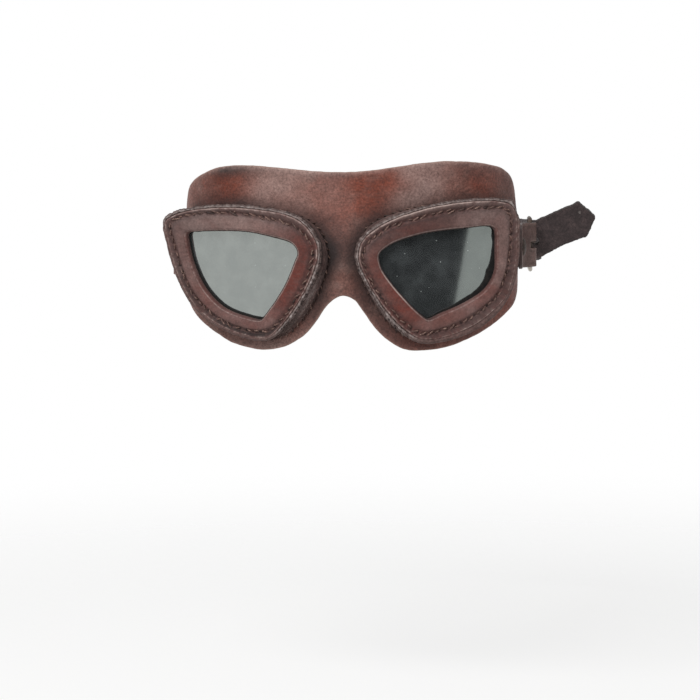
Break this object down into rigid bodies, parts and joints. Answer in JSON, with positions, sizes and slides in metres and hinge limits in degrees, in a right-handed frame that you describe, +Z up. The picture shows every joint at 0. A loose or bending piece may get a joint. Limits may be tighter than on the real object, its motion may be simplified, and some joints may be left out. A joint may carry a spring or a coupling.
{
  "type": "pilot goggles",
  "caption": "Leather pilot goggles: a bent face mask with stitched tilted eyecups, flat tinted lenses and a head strap with a pin buckle at the temple.",
  "frame": {"origin": "on the mid plane at the bridge of the nose, where the mask rests on the face, 2.6 mm behind the mask's inner face", "axes": "+Z up, the lenses face -Y, +Y runs back towards the head and the strap loop, +X is the wearer's left, where the buckle is"},
  "size_m": [0.2009, 0.2104, 0.0831],
  "materials": {
    "mask_leather": "vegetable-tanned, burnished reddish brown, satin",
    "cup_leather": "vegetable-tanned, burnished dark reddish brown, satin",
    "strap_leather": "dark brown, flesh side rough and matte",
    "waxed_thread": "waxed dark brown thread",
    "tinted_glass": "smooth, grey-green tint, light mirror",
    "gasket_rubber": "matte black",
    "nickel_steel": "nickel-plated steel, slightly dull"
  },
  "bodies": {
    "mask": {"mask_body": "mask_leather", "eyecup_wall_left": "cup_leather", "eyecup_wall_right": "cup_leather", "front_plate_left": "cup_leather", "front_plate_right": "cup_leather", "lens_retainer_left": "cup_leather", "lens_retainer_right": "cup_leather", "lens_left": "tinted_glass", "lens_right": "tinted_glass", "lens_gasket_left": "gasket_rubber", "lens_gasket_right": "gasket_rubber", "plate_thread_left": "waxed_thread", "plate_thread_right": "waxed_thread", "foot_thread_left": "waxed_thread", "foot_thread_right": "waxed_thread", "wing_left_rivet": "nickel_steel", "wing_left_burr": "nickel_steel", "wing_right_rivet": "nickel_steel", "wing_right_burr": "nickel_steel"},
    "head_strap": {"buckle_tab_left": "mask_leather", "strap_tab_right": "mask_leather", "strap": "strap_leather", "strap_right_rivet": "nickel_steel", "strap_right_burr": "nickel_steel"},
    "buckle_frame": {"buckle_frame_left": "nickel_steel"},
    "buckle_prong": {"buckle_prong_left": "nickel_steel"}
  },
  "joints": [
    {"name": "strap_swing", "type": "hinge", "parent": "mask", "child": "head_strap", "pos_m": [0, 0.057, 0.0012], "axis": [1, 0, 0], "range_deg": [-35, 45]},
    {"name": "frame_tilt", "type": "hinge", "parent": "head_strap", "child": "buckle_frame", "pos_m": [0.0812, 0.078, 0.0012], "axis": [0, 0, -1], "range_deg": [0, 2.5]},
    {"name": "prong_tilt", "type": "hinge", "parent": "buckle_frame", "child": "buckle_prong", "pos_m": [0.0812, 0.078, 0.0012], "axis": [0, 0, -1], "range_deg": [0, 2.5]}
  ]
}
